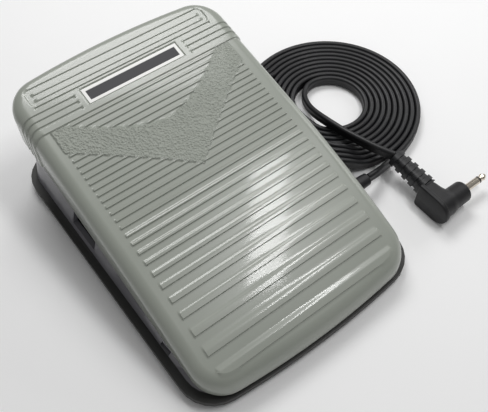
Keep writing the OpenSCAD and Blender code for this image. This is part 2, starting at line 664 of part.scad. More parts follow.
// The coil is pressed flat next to the pedal: its outer turns climb over its inner ones and rest
// on the flange. Each edge is a circle cut off by a straight line to the left of the centre.
function cut_off(r, a, side) = cos(a) < 0 ? min(r, -side / cos(a)) : r;
function low_edge(a) = cut_off(coil_outer_r + cord_t / 2
    - raised_turns * coil_pitch * ease((abs(a) - 113) / 20), a, low_side + cord_t / 2);
function high_edge(a) = cut_off(coil_outer_r + cord_t / 2, a, high_side + cord_t / 2);
raised_r = coil_outer_r - (raised_turns - 1) * coil_pitch - cord_t / 2;
raised_side = high_side - (raised_turns - 1) * 2.8 - cord_t / 2;
module coil_area(edge) {
    polygon([for (a = [-180:5:175]) edge(a) * [cos(a), sin(a)]]);
}
module cord_coil() {
    color([0.08, 0.08, 0.08]) translate([coil_x, coil_y, 0]) {
        linear_extrude(cord_w) difference() {
            coil_area(function (a) low_edge(a));
            coil_area(function (a) cut_off(coil_inner_r - cord_t / 2, a, low_side - 5.5 * 2.8));
        }
        translate([0, 0, cord_w]) linear_extrude(cord_w) intersection() {
            difference() {
                coil_area(function (a) high_edge(a));
                coil_area(function (a) cut_off(raised_r, a, raised_side));
            }
            translate([-coil_outer_r - 5, -coil_outer_r - 5])
                square([coil_outer_r * (1 + cos(118)) + 5, 2 * coil_outer_r + 10]);
        }
    }
}

// Plug: ribbed relief, D-shaped body with a snout, and the jack
plug_y = -61.5;
plug_z = 7;
plug_r = 7;
face_x = 79;
body_x = 88;
snout_x = 97.8;
flat_y = -50;
relief_end = [85.3, flat_y + 0.2, 7.3];
relief_l = norm(relief_end - plug_route_start);
module plug_relief() {
    d = relief_end - plug_route_start;
    color([0.08, 0.08, 0.08]) translate(plug_route_start)
        rotate([0, acos(d.z / relief_l), atan2(d.y, d.x)]) {
            cylinder(r1 = 2.9, r2 = 4, h = relief_l, $fn = 40);
            for (i = [0:4]) translate([0, 0, relief_l * (i + 0.15) / 5])
                cylinder(r1 = 3.2 + 0.22 * i, r2 = 3.4 + 0.22 * i, h = relief_l * 0.13, $fn = 40);
        }
}
module plug_body() {
    color([0.06, 0.06, 0.06]) {
        along_x(face_x, body_x) {
            translate([plug_y, plug_z]) circle(r = plug_r, $fn = 64);
            translate([plug_y, plug_z - plug_r]) square([flat_y - plug_y, 2 * plug_r]);
        }
        translate([body_x, plug_y, plug_z]) rotate([0, 90, 0]) cylinder(r1 = 6.6, r2 = 5.4, h = 4, $fn = 64);
        rod_x(body_x + 3, snout_x, plug_y, plug_z, 5.2);
    }
}
jack_r = jack_d / 2;
sleeve_share = 0.66;
ring_w = 0.7;
module jack_sleeve() {
    color([0.8, 0.79, 0.75]) rod_x(snout_x, snout_x + jack_l * sleeve_share, plug_y, plug_z, jack_r);
}
module jack_insulator() {
    x = snout_x + jack_l * sleeve_share;
    color([0.1, 0.1, 0.1]) rod_x(x, x + ring_w, plug_y, plug_z, jack_r);
}
module jack_tip() {
    x = snout_x + jack_l * sleeve_share + ring_w;
    l = snout_x + jack_l - x;
    color([0.8, 0.79, 0.75]) translate([x, plug_y, plug_z]) rotate([0, 90, 0])
        rotate_extrude($fn = 48) polygon([[0, 0], [jack_r, 0], [jack_r - 0.35, l * 0.3], [jack_r, l * 0.6],
            [jack_r * 0.55, l], [0, l]]);
}

base_tray();
pedal_cover();
nameplate();
nameplate_rim();
hinge_rod();
hinge_clips();
return_spring_left();
return_spring_right();
spring_cups();
ballast_plate();
ballast_screws();
circuit_board();
board_screws();
board_parts();
pot_bracket();
bracket_screws();
pot_body();
pot_nut();
pot_shaft();
pot_pinion();
sector_gear();
sector_screws();
lead_wires();
cord_tail();
cord_clamp();
clamp_screws();
cord_gland();
rubber_feet();
stop_bumpers();
cord_pedal_end();
cord_coil();
cord_plug_end();
plug_relief();
plug_body();
jack_sleeve();
jack_insulator();
jack_tip();
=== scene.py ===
import json
import math
import bmesh
import bpy
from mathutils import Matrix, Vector

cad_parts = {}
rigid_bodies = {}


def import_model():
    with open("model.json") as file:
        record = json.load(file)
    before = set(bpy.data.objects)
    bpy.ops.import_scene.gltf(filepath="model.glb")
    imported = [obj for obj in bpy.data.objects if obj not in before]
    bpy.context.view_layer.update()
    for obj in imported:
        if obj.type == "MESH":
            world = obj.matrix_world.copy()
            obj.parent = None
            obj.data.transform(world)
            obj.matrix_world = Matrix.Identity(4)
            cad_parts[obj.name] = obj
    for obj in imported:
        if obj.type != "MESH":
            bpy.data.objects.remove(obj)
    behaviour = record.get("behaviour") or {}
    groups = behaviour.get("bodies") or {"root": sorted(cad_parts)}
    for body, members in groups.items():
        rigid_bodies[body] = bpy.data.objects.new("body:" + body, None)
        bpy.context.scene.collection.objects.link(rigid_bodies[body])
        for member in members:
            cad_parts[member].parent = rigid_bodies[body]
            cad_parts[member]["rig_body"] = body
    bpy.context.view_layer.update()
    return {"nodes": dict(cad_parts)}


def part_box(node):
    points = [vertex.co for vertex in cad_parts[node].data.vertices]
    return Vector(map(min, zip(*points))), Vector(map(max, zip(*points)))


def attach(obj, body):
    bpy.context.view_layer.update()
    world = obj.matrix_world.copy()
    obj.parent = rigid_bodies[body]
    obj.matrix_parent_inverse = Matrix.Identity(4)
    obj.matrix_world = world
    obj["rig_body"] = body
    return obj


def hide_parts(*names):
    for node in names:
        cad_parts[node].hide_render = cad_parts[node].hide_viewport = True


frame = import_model()
mm = 0.001

# ---------------------------------------------------------------- the stage
# A pale floor, one long soft lamp over the toe side and a broad fill from the right.
# The lamps leave the left wall and the heel in shade, so that the rolled edge reads dark.
scene = bpy.context.scene


def lamp(name, place, target, width, depth, power):
    light = bpy.data.lights.new(name, "AREA")
    light.shape = "RECTANGLE"
    light.size, light.size_y = width, depth
    light.energy = power
    holder = bpy.data.objects.new(name, light)
    holder.location = place
    aim = Vector(target) - Vector(place)
    holder.rotation_euler = aim.to_track_quat("-Z", "Y").to_euler()
    scene.collection.objects.link(holder)


camera_data = bpy.data.cameras.new("camera")
camera_data.sensor_width = 36
camera_data.lens = 50.75
camera_data.clip_start = 0.01
camera = bpy.data.objects.new("camera", camera_data)
camera_target = Vector((9.5, -12.3, 15.0)) * mm
camera.location = Vector((-92.9, -147.2, 261.4)) * mm
camera.rotation_mode = "QUATERNION"
camera.rotation_quaternion = (camera_target - camera.location).to_track_quat("-Z", "Y")
scene.collection.objects.link(camera)
scene.camera = camera

world = bpy.data.worlds.new("room")
world.use_nodes = True
world.node_tree.nodes["Background"].inputs["Color"].default_value = (1, 1, 1, 1)
world.node_tree.nodes["Background"].inputs["Strength"].default_value = 0.26
scene.world = world
scene.view_settings.view_transform = "Standard"
lamp("toe_lamp", (0.16, 0.34, 0.52), (0.02, 0.0, 0.02), 0.34, 0.22, 1.75)
lamp("heel_strip", (0.235, -0.115, 0.62), (0.0, -0.04, 0.02), 0.30, 0.055, 1.1)
lamp("right_fill", (0.60, 0.05, 0.30), (0.03, 0.0, 0.02), 0.3, 0.3, 0.6)


def linear(red, green, blue):
    """A display colour, 0 to 255, as the linear colour that a shader takes."""
    parts = [c / 255 for c in (red, green, blue)]
    return tuple(c / 12.92 if c <= 0.04045 else ((c + 0.055) / 1.055) ** 2.4 for c in parts) + (1,)


class Wire:
    """A socket in a material's node tree. Arithmetic on wires adds Math nodes."""

    def __init__(self, tree, socket=None):
        self.tree, self.socket = tree, socket

    def node(self, kind, settings=None, sockets=None, out=0):
        made = self.tree.nodes.new("ShaderNode" + kind)
        for name, value in (settings or {}).items():
            if name == "stops":
                elements = made.color_ramp.elements
                while len(elements) < len(value):
                    elements.new(1)
                for element, (place, colour) in zip(elements, value):
                    element.position, element.color = place, colour
            else:
                setattr(made, name, value)
        for name, value in (sockets or {}).items():
            if isinstance(value, Wire):
                self.tree.links.new(value.socket, made.inputs[name])
            else:
                made.inputs[name].default_value = value
        return Wire(self.tree, made.outputs[out])

    def math(self, operation, *values):
        return self.node("Math", {"operation": operation}, dict(enumerate(values)))

    def __add__(self, other):
        return self.math("ADD", self, other)

    def __sub__(self, other):
        return self.math("SUBTRACT", self, other)

    def __rsub__(self, other):
        return self.math("SUBTRACT", other, self)

    def __mul__(self, other):
        return self.math("MULTIPLY", self, other)

    def above(self, low, high):
        """0 below low, 1 above high, smooth between."""
        return self.node("MapRange", {"interpolation_type": "SMOOTHSTEP"},
                         {"Value": self, "From Min": low, "From Max": high})

    def blend(self, first, second):
        """A colour, first where the wire is 0 and second where it is 1."""
        return self.node("Mix", {"data_type": "RGBA"}, {0: self, 6: first, 7: second}, 2)

    __radd__, __rmul__ = __add__, __mul__


class Finish:
    """A Principled material: fixed sockets are set on the shader, the others are wired."""

    def __init__(self, name, **fixed):
        self.material = bpy.data.materials.new(name)
        self.material.use_nodes = True
        self.tree = self.material.node_tree
        self.shader = self.tree.nodes["Principled BSDF"]
        self.start = Wire(self.tree)
        self.place = self.start.node("TexCoord", out=3)
        for socket, value in fixed.items():
            self.shader.inputs[socket.replace("_", " ")].default_value = value

    def noise(self, scale, detail=3, roughness=0.5, stretch=None):
        place = self.place
        if stretch:
            place = self.start.node("VectorMath", {"operation": "MULTIPLY"}, {0: place, 1: stretch})
        return self.start.node("TexNoise", None,
                               {"Vector": place, "Scale": scale, "Detail": detail, "Roughness": roughness})

    def axis(self, number):
        return self.start.node("SeparateXYZ", None, {0: self.place}, number)

    def wire(self, socket, value):
        self.tree.links.new(value.socket, self.shader.inputs[socket])

    def bump(self, height, strength, distance):
        made = self.start.node("Bump", None,
                               {"Height": height, "Strength": strength, "Distance": distance})
        self.wire("Normal", made)


paper = Finish("floor_paper", Roughness=0.9)
paper.wire("Base Color", paper.noise(30).blend(linear(250, 250, 250), linear(252, 252, 252)))
floor_mesh = bpy.data.meshes.new("floor")
reach = 1.6
floor_mesh.from_pydata([(-reach, -reach, 0), (reach, -reach, 0), (reach, reach, 0), (-reach, reach, 0)],
                       [], [(0, 1, 2, 3)])
floor_mesh.materials.append(paper.material)
floor = bpy.data.objects.new("floor", floor_mesh)
floor.location.z = -0.05 * mm
scene.collection.objects.link(floor)


# ---------------------------------------------------------------- the lead
# A flat two-core PVC lead, two round cores side by side with a web between them. It comes out of
# the gland, lies on its edge in a coil of ten turns, and its inner end crosses the coil to the
# plug. The side of the coil next to the pedal is pressed in, its outer turns over its inner ones.
lead_high, lead_thick = 5.6, 2.7
coil_centre = (87.3, 17.3)
coil_first_r, coil_pitch, coil_turns = 17.5, 2.9, 10
low_side, high_side, side_pitch, raised_from = 28.4, 32.3, 2.8, 6
pedal_route = [(66, -31, 8.9), (70, -30.8, 8.2), (75, -29.9, 6.3), (80, -28.7, 4.4), (85, -27.6, 3.2),
               (90, -26.6, 2.8), (95, -25.6, 2.8)]
plug_route = [(91.8, 34.2, 2.8), (86.5, 34.2, 2.8), (82, 31.8, 2.9), (78.6, 27.6, 3.4), (76.3, 22, 4.4),
              (75.2, 16, 5.8), (74.9, 10, 7.3), (75, 4, 8.6), (75.7, -2, 9.2), (76.7, -8, 9.9),
              (78, -14, 10.6), (79.4, -20, 11.2), (81.2, -26, 11.8), (83.2, -30.5, 12)]


def ease(t):
    t = min(1, max(0, t))
    return t * t * (3 - 2 * t)


def spline(points, steps):
    """A Catmull-Rom curve through points."""
    p = [Vector(q) for q in points]
    out = []
    for i in range(len(p) - 1):
        a, b, c, d = p[max(i - 1, 0)], p[i], p[i + 1], p[min(i + 2, len(p) - 1)]
        for s in range(steps):
            t = s / steps
            out.append(0.5 * (2 * b + (c - a) * t + (2 * a - 5 * b + 4 * c - d) * t * t
                              + (3 * b - a - 3 * c + d) * t ** 3))
    return out + [p[-1]]


def coil_point(slot, angle):
    """A point of the turn that starts in this slot; the turn steps in by one slot on its left side."""
    t = math.radians(angle)
    r = coil_first_r + coil_pitch * (slot - ease((angle - 90) / 180))
    raised = slot >= raised_from
    if math.cos(t) < -0.05:
        rank = coil_turns - 1 - slot if raised else raised_from - 1 - slot
        flat = ((high_side if raised else low_side) - side_pitch * rank) / -math.cos(t)
        near = max(0, 1 - abs(r - flat) / 3)
        r = min(r, flat) - 0.75 * near * near
    lift = lead_high * ease((min(angle, 360 - angle) - 108) / 18) if raised else 0
    return Vector((coil_centre[0] + r * math.cos(t), coil_centre[1] + r * math.sin(t), lead_high / 2 + lift))


coil_path = []
for slot in range(coil_turns - 1, -1, -1):
    first = -78 if slot == coil_turns - 1 else -90
    last = 72 if slot == 0 else 270
    coil_path += [coil_point(slot, a) for a in range(first, last, 4)]
lead_path = spline(pedal_route, 4)[:-1] + coil_path + spline(plug_route, 4)
lead_path = [p for i, p in enumerate(lead_path) if i == 0 or (p - lead_path[i - 1]).length > 0.4]


def smooth_path(path, rounds):
    for _ in range(rounds):
        path = [path[0]] + [(path[i - 1] + path[i] * 2 + path[i + 1]) / 4
                            for i in range(1, len(path) - 1)] + [path[-1]]
    return path


lead_path = smooth_path(lead_path, 3)


def twin_section():
    """Half thickness and half height of the lead's section, round both cores and the web."""
    core = lead_thick / 2
    shift = lead_high / 2 - core
    upper = [(core * math.cos(math.radians(a)), shift + core * math.sin(math.radians(a)))
             for a in range(-36, 217, 28)]
    lower = [(-x, -y) for x, y in upper]
    return upper + lower


def sweep(path, section, name):
    """Closed tube of a section along a path in millimetres, its height kept upright."""
    made = bmesh.new()
    rings = []
    for i, point in enumerate(path):
        ahead = (path[min(i + 1, len(path) - 1)] - path[max(i - 1, 0)]).normalized()
        side = ahead.cross(Vector((0, 0, 1))).normalized()
        up = side.cross(ahead)
        rings.append([made.verts.new((point + side * x + up * y) * mm) for x, y in section])
    count = len(section)
    for low, high in zip(rings, rings[1:]):
        for i in range(count):
            made.faces.new((low[i], low[(i + 1) % count], high[(i + 1) % count], high[i]))
    made.faces.new(reversed(rings[0]))
    made.faces.new(rings[-1])
    return finished(made, name)


def finished(made, name, angle=40):
    """A new object from a bmesh, with outward faces and smooth shading below an angle."""
    bmesh.ops.recalc_face_normals(made, faces=made.faces)
    mesh = bpy.data.meshes.new(name)
    made.to_mesh(mesh)
    made.free()
    piece = bpy.data.objects.new(name, mesh)
    scene.collection.objects.link(piece)
    mesh.shade_smooth()
    mesh.set_sharp_from_angle(angle=math.radians(angle))
    return piece


pvc = Finish("lead_pvc", Specular_IOR_Level=0.5)
pvc_grain = pvc.noise(1600, 2)
pvc_cloud = pvc.noise(60)
pvc.wire("Base Color", pvc_cloud.blend(linear(16, 16, 18), linear(27, 27, 30)))
pvc.wire("Roughness", pvc_cloud * 0.16 + 0.36)
pvc.bump(pvc_grain, 0.25, 0.00005)

lead = sweep(lead_path, twin_section(), "flat_lead")
lead.data.materials.append(pvc.material)
lead_length = sum((b - a).length for a, b in zip(lead_path, lead_path[1:])) * mm
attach(lead, "base")
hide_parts("cord_pedal_end", "cord_coil", "cord_plug_end")


# ---------------------------------------------------------------- the relief at the plug
# Soft PVC moulded round the lead's end: five flat-sided lobes with slots between them, so that
# it bends in a long curve. It grows from the lead to the width of the plug's body.
relief_start, relief_end = Vector((83.2, -30.5, 12)), Vector((85.3, -50.6, 7.3))
lobes = 5
relief_path, relief_size = [], []
stations = [((i + share) / lobes, lobe) for i in range(lobes)
            for share, lobe in ((0, 0), (0.05, 0), (0.09, 1), (0.30, 1), (0.62, 1), (0.66, 0))] + [(1, 1)]
for t, lobe in stations:
    relief_path.append(relief_start.lerp(relief_end, t))
    relief_size.append((2.95 + 0.6 * t + 0.85 * lobe, 3.0 + 1.1 * t + 0.6 * lobe))

relief_mesh = bmesh.new()
relief_rings = []
relief_along = (relief_end - relief_start).normalized()
relief_side = relief_along.cross(Vector((0, 0, 1))).normalized()
relief_up = relief_side.cross(relief_along)
for point, (wide, high) in zip(relief_path, relief_size):
    ring = []
    for k in range(28):
        a = math.tau * k / 28
        c, s = math.cos(a), math.sin(a)
        x = wide * math.copysign(abs(c) ** 0.6, c)
        y = high * math.copysign(abs(s) ** 0.6, s)
        ring.append(relief_mesh.verts.new((point + relief_side * x + relief_up * y) * mm))
    relief_rings.append(ring)
for low, high in zip(relief_rings, relief_rings[1:]):
    for k in range(28):
        relief_mesh.faces.new((low[k], low[(k + 1) % 28], high[(k + 1) % 28], high[k]))
relief_mesh.faces.new(relief_rings[0])
relief_mesh.faces.new(relief_rings[-1])
relief = finished(relief_mesh, "plug_relief_lobes", 50)
relief.data.materials.append(pvc.material)
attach(relief, "base")
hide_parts("plug_relief")

# ---------------------------------------------------------------- the plug's body
# A right-angled PVC moulding: a thin D-shaped face plate whose rim stands proud of the body behind
# it, and a soft shoulder down to the round snout that the jack comes out of. Fine matt grain.
plug_low, plug_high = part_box("plug_body")
axis_y, axis_z = -61.5 * mm, 7 * mm
end_r = axis_z - plug_low.z
flat_y = plug_high.y
face_x, snout_x = plug_low.x, plug_high.x


def d_outline(inset, count=72):
    """The D seen along X: round at the heel end, square with small corners at the other."""
    r, corner = end_r - inset, 1.2 * mm
    straight = flat_y - inset - corner
    arc = [(axis_y - r * math.sin(t), axis_z + r * math.cos(t))
           for t in (math.pi * i / (count // 2 - 1) for i in range(count // 2))]
    low = [(straight + corner * math.sin(t), axis_z - r + corner - corner * math.cos(t))
           for t in (math.pi / 2 * i / 8 for i in range(9))]
    high = [(y, 2 * axis_z - z) for y, z in reversed(low)]
    sides = [(axis_y + (straight - axis_y) * i / 9, axis_z - r) for i in range(1, 9)]
    back = [(y, 2 * axis_z - z) for y, z in reversed(sides)]
    return arc + sides + low + high + back


def ring_about(radius, outline):
    """A circle on the jack's axis with a point towards each point of an outline."""
    out = []
    for y, z in outline:
        a = math.atan2(z - axis_z, y - axis_y)
        out.append((axis_y + radius * math.cos(a), axis_z + radius * math.sin(a)))
    return out


plug_mesh = bmesh.new()
levels = [(face_x + x * mm, d_outline(inset * mm))
          for x, inset in ((0, 0.6), (0.1, 0.3), (0.3, 0.1), (0.6, 0), (1.9, 0), (2.2, 0.12), (2.35, 0.4),
                           (2.4, 0.85), (2.7, 0.95), (6.5, 1.0))]
body_end = d_outline(1.0 * mm)
snout = ring_about(5.25 * mm, body_end)
shoulder_start, shoulder_l, snout_round = 6.5, 4.5, 1.3 * mm
for i in range(1, 13):
    t = i / 12
    mix = ease(t)
    levels.append((face_x + (shoulder_start + shoulder_l * t) * mm,
                   [(a + (c - a) * mix, b + (d - b) * mix) for (a, b), (c, d) in zip(body_end, snout)]))
levels.append((snout_x - snout_round, ring_about(5.1 * mm, body_end)))
for a in (20, 40, 60, 80, 90):
    t = math.radians(a)
    levels.append((snout_x - snout_round + snout_round * math.sin(t),
                   ring_about((3.8 + 1.3 * math.cos(t)) * mm, body_end)))
plug_rings = [[plug_mesh.verts.new((x, y, z)) for y, z in outline] for x, outline in levels]
for low, high in zip(plug_rings, plug_rings[1:]):
    n = len(low)
    for i in range(n):
        plug_mesh.faces.new((low[i], low[(i + 1) % n], high[(i + 1) % n], high[i]))
plug_mesh.faces.new(plug_rings[0])
plug_mesh.faces.new(plug_rings[-1])
plug = finished(plug_mesh, "plug_moulding", 60)
plug_pvc = Finish("plug_pvc", Specular_IOR_Level=0.45)
plug_pvc.wire("Base Color", plug_pvc.noise(300).blend(linear(14, 14, 16), linear(24, 24, 26)))
plug_pvc.wire("Roughness", plug_pvc.noise(500) * 0.15 + 0.42)
plug_pvc.bump(plug_pvc.noise(2600, 2), 0.35, 0.00006)
plug.data.materials.append(plug_pvc.material)
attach(plug, "base")
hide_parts("plug_body")


# ---------------------------------------------------------------- the turned and moulded CAD pieces
# The jack is a nickel-plated sleeve and tip with a black ring between, moulded into the plug, and
# the gland is a PVC sleeve in the base's wall. Such pieces keep their CAD shape: a copy of each has
# its loose triangles joined and its flat faces made whole, then gets a small bevel.
def broken_edges(node, material, bevel=0.15, angle=35):
    source = frame["nodes"][node]
    made = bmesh.new()
    made.from_mesh(source.data)
    bmesh.ops.remove_doubles(made, verts=made.verts, dist=0.002 * mm)
    bmesh.ops.dissolve_limit(made, angle_limit=math.radians(1.2), verts=made.verts, edges=made.edges)
    mesh = bpy.data.meshes.new(node + "_finished")
    made.to_mesh(mesh)
    made.free()
    piece = bpy.data.objects.new(node + "_finished", mesh)
    scene.collection.objects.link(piece)
    if bevel:
        edge = piece.modifiers.new("edge", "BEVEL")
        edge.width, edge.segments, edge.limit_method = bevel * mm, 2, "ANGLE"
        edge.angle_limit = math.radians(angle)
        edge.use_clamp_overlap = True
    mesh.shade_smooth()
    mesh.set_sharp_from_angle(angle=math.radians(angle))
    mesh.materials.clear()
    mesh.materials.append(material)
    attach(piece, source["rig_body"])
    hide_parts(node)
    return piece


nickel = Finish("jack_nickel", Metallic=1.0)
nickel_wear = nickel.noise(500, 4, 0.6, (0.2, 1, 1))
nickel.wire("Base Color", nickel_wear.blend(linear(226, 220, 208), linear(204, 190, 172)))
nickel.wire("Roughness", nickel_wear * 0.18 + 0.12)
black_ring = Finish("jack_ring_black", Roughness=0.4)
black_ring.wire("Base Color", black_ring.noise(900).blend(linear(16, 16, 17), linear(26, 26, 27)))
sleeve = broken_edges("jack_sleeve", nickel.material, 0.1)
insulator = broken_edges("jack_insulator", black_ring.material, 0.05)
tip = broken_edges("jack_tip", nickel.material, 0.08, 20)
gland = broken_edges("cord_gland", pvc.material, 0.3)

lead_start = tuple(lead_path[0] * mm)
[tuple(p * mm) for p in lead_path]

# ---------------------------------------------------------------- the cover
# One injection moulding in glossy grey-green plastic, with a rolled edge. Its treads are raised
# bars, wide at the heel and fine at the toe, round a V-shaped panel with a leather grain. The toe
# end is a raised collar with grooves. The moulded relief lies on a thin skin over the CAD shell.
pedal_l, cover_hw, heel_y, toe_y = 154.6, 52.5, -76.5, 77.3
bow, corner_r, roll_r = 398.3, 14, 5
bend_y, bend_z, toe_rise, heel_high = 5, 38.475, 0.195, 14.45
toe_angle = math.atan(toe_rise)
arc_l, arc_drop = bend_y + pedal_l / 2 - roll_r, bend_z - heel_high
arc_r = (arc_l ** 2 + arc_drop ** 2) / (2 * (arc_drop * math.cos(toe_angle) - arc_l * math.sin(toe_angle)))
arc_y = bend_y + arc_r * math.sin(toe_angle)
arc_z = bend_z - arc_r * math.cos(toe_angle)
base_level, bar_rise = 0.06, 0.55
plate_y, plate_w, plate_h, rim_w = 54.35, 48, 7.9, 1.5


def top_z(y):
    if y > bend_y:
        return bend_z + toe_rise * (y - bend_y)
    return arc_z + math.sqrt(arc_r ** 2 - (y - arc_y) ** 2)


def skirt_z(y):
    return 6.5 + 29 * (y + pedal_l / 2) / pedal_l


crease = {"hw": cover_hw - roll_r, "heel": heel_y + roll_r, "toe": toe_y - roll_r,
          "corner": corner_r - roll_r, "bow": bow - roll_r}
corner_x = crease["hw"] - crease["corner"]
corner_rise = math.sqrt((crease["bow"] - crease["corner"]) ** 2 - corner_x ** 2)
heel_corner_y = crease["heel"] + crease["bow"] - corner_rise
toe_corner_y = crease["toe"] - crease["bow"] + corner_rise
end_angle = math.atan2(corner_x, corner_rise)
bow_rise = crease["bow"] * (1 - math.cos(end_angle))


def crease_point(y):
    """Half width of the flat top at y, and the outward direction of its outline there."""
    heel_side = y < (heel_corner_y + toe_corner_y) / 2
    depth = y - crease["heel"] if heel_side else crease["toe"] - y
    sign = -1 if heel_side else 1
    centre = heel_corner_y - crease["heel"]
    if depth >= centre:
        return crease["hw"], (1, 0)
    if depth > bow_rise and centre - depth < crease["corner"] * math.cos(end_angle):
        c = (centre - depth) / crease["corner"]
        s = math.sqrt(max(0, 1 - c * c))
        return corner_x + crease["corner"] * s, (s, sign * c)
    c = (crease["bow"] - depth) / crease["bow"]
    s = math.sqrt(max(0, 1 - c * c))
    return crease["bow"] * s, (s, sign * c)


def step(value, low, high):
    """0 at low, 1 at high, smooth between."""
    return ease((value - low) / (high - low))


def lower_edge(j):
    """Heel-side edge of tread bar j, counted down from the point of the V."""
    return bend_y + 0.9 - (3.35 * j + 0.01 * j * j + 0.0098 * j ** 3)


bars = []
for j in range(15):
    edge = max(lower_edge(j), crease["heel"] + 0.4)
    room = lower_edge(j - 1) - edge
    bars.append((edge, room * (0.42 if j < 5 else 0.42 + 0.015 * min(j - 4, 8))))
bars += [(bend_y + 0.9 + 3 * k, 1.35) for k in range(1, 14)]
collar_y = 47.0
groove_ys = (50.3, 53.4, 56.5)
long_groove_y = 59.75
recess = (45.0, 60.9, 69.5)
inner_bars = (63.3, 66.4)


def v_panel(x):
    """Lower and upper edge of the grained panel at half width x."""
    low = 2 + 0.83 * x - 0.0018 * x * x
    high = 28 + 19 * (x / 38.5) ** 1.6 if x < 38.5 else collar_y
    return low, high


def in_panel(x, y, soft):
    low, high = v_panel(x)
    lean_low, lean_high = 0.78, 0.62
    inside = step((y - low) * lean_low, -soft, soft) * step((high - y) * lean_high, -soft, soft)
    return inside * step(44.8 - x, -soft, soft)


def groove(y, centre, half):
    return 1 - step(abs(y - centre), half * 0.55, half)


def rounded_box(x, y, half_w, low, high, corner):
    """Distance outside a rounded rectangle, negative inside."""
    dx = x - half_w + corner
    dy = abs(y - (low + high) / 2) - (high - low) / 2 + corner
    return math.hypot(max(dx, 0), max(dy, 0)) + min(max(dx, dy), 0) - corner


def relief(x, y):
    """Height of the moulded relief over the plain shell."""
    x = abs(x)
    if y > collar_y:
        rise = step(y, collar_y, collar_y + 0.2)
        for centre in groove_ys:
            rise -= groove(y, centre, 0.75) * step(x, 27.2, 27.8) * 0.9
        rise -= groove(y, long_groove_y, 0.6) * step(44.6 - x, 0, 0.6) * 0.9
        sunk = 1 - step(rounded_box(x, y, *recess, 2.0), -0.3, 0.05)
        rise -= 0.75 * sunk
        for centre in inner_bars:
            rise += 0.7 * (1 - step(abs(y - centre), 0.5, 0.8)) * step(42.5 - x, 0, 0.6)
        edge = rounded_box(x, y, plate_w / 2 + 0.35, plate_y - 4.25, plate_y + 4.25, 0.5)
        pocket = 1 - step(edge, -0.1, 0.25)
        rise = rise * (1 - pocket)
        return base_level + bar_rise * max(0, rise)
    inside = in_panel(x, y, 0.35)
    rise = 0
    for edge, width in bars:
        if edge - 0.2 < y < edge + width + 0.2:
            rise = step(y, edge - 0.05, edge + 0.1) * (1 - step(y, edge + 0.5 * width, edge + width))
    rise *= (1 - inside) * step(44.4 - x, 0, 0.45)
    return base_level + bar_rise * rise


def row_places():
    """Every y at which the skin has a row: the outline's own points and each edge of the relief."""
    marks = [crease["heel"] + crease["bow"] * (1 - math.cos(end_angle * i / 14)) for i in range(1, 15)]
    marks += [heel_corner_y - crease["corner"] * math.cos(end_angle + (math.pi / 2 - end_angle) * i / 14)
              for i in range(1, 15)]
    marks += [-y + crease["heel"] + crease["toe"] for y in marks]
    for edge, width in bars:
        marks += [edge - 0.05, edge + 0.02, edge + 0.1, edge + 0.5 * width, edge + 0.75 * width, edge + width]
    marks += [collar_y, collar_y + 0.1, collar_y + 0.2]
    for centre, half in [(y, 0.75) for y in groove_ys] + [(long_groove_y, 0.6)]:
        marks += [centre + half * s for s in (-1, -0.8, -0.55, 0.55, 0.8, 1)]
    for centre in inner_bars:
        marks += [centre + s for s in (-0.8, -0.65, -0.5, 0.5, 0.65, 0.8)]
    marks += [recess[1] + d for d in (-0.05, 0.1, 0.3)] + [recess[2] - d for d in (-0.05, 0.1, 0.3)]
    marks += [plate_y + s * d for s in (-1, 1) for d in (4.15, 4.3, 4.5)]
    marks = sorted(y for y in marks if crease["heel"] + 0.004 < y < crease["toe"] - 0.004)
    rows = [marks[0]]
    for y in marks[1:]:
        gap = y - rows[-1]
        if gap < 0.03:
            continue
        parts = max(1, math.ceil(gap / 0.75))
        rows += [rows[-1] + gap * i / parts for i in range(1, parts + 1)]
    return rows


half_columns = [0, 0.004] + [0.011 * i for i in range(1, 84)]
half_columns += [(43.6 + 0.3 * i) / crease["hw"] for i in range(0, 13)] + [1]
half_columns = sorted(u for u in half_columns if u <= 1)
columns = [-u for u in reversed(half_columns[1:])] + half_columns

skin_mesh = bmesh.new()
grain_layer = skin_mesh.verts.layers.float.new("grain")
rows = row_places()
top = []
for y in rows:
    half, _ = crease_point(y)
    line = []
    for u in columns:
        x = u * half
        vert = skin_mesh.verts.new(Vector((x, y, top_z(y) + relief(x, y))) * mm)
        vert[grain_layer] = in_panel(abs(x), y, 0.5) if y <= collar_y else 0
        line.append(vert)
    top.append(line)
for low, high in zip(top, top[1:]):
    for i in range(len(columns) - 1):
        skin_mesh.faces.new((low[i], low[i + 1], high[i + 1], high[i]))


def edge_rise(y):
    """Relief carried over the rolled edge: the collar and its grooves."""
    rise = step(y, collar_y, collar_y + 0.4)
    for centre in groove_ys:
        rise -= groove(y, centre, 0.75) * 0.9
    return base_level + bar_rise * max(0, rise)


def side_point(y, side, t, drop, extra=0):
    """A point of the roll (t from 90 at the crease to 0), or drop of the way down the skirt below it."""
    half, (nx, ny) = crease_point(y)
    t = math.radians(t)
    out = roll_r * math.cos(t)
    px, py = half + nx * out, y + ny * out
    pz = top_z(py) - roll_r * (1 - math.sin(t))
    if drop:
        pz += (skirt_z(py) - 0.02 - pz) * drop
    lift = (edge_rise(py) if abs(ny) < 0.9 or py > 0 else base_level) + extra
    return Vector((side * (px + nx * math.cos(t) * lift), py + ny * math.cos(t) * lift,
                   pz + math.sin(t) * lift * (0 if drop else 1))) * mm


def ring_of(t, drop=0, extra=0):
    return [[skin_mesh.verts.new(side_point(y, side, t, drop, extra)) for y in rows] for side in (-1, 1)]


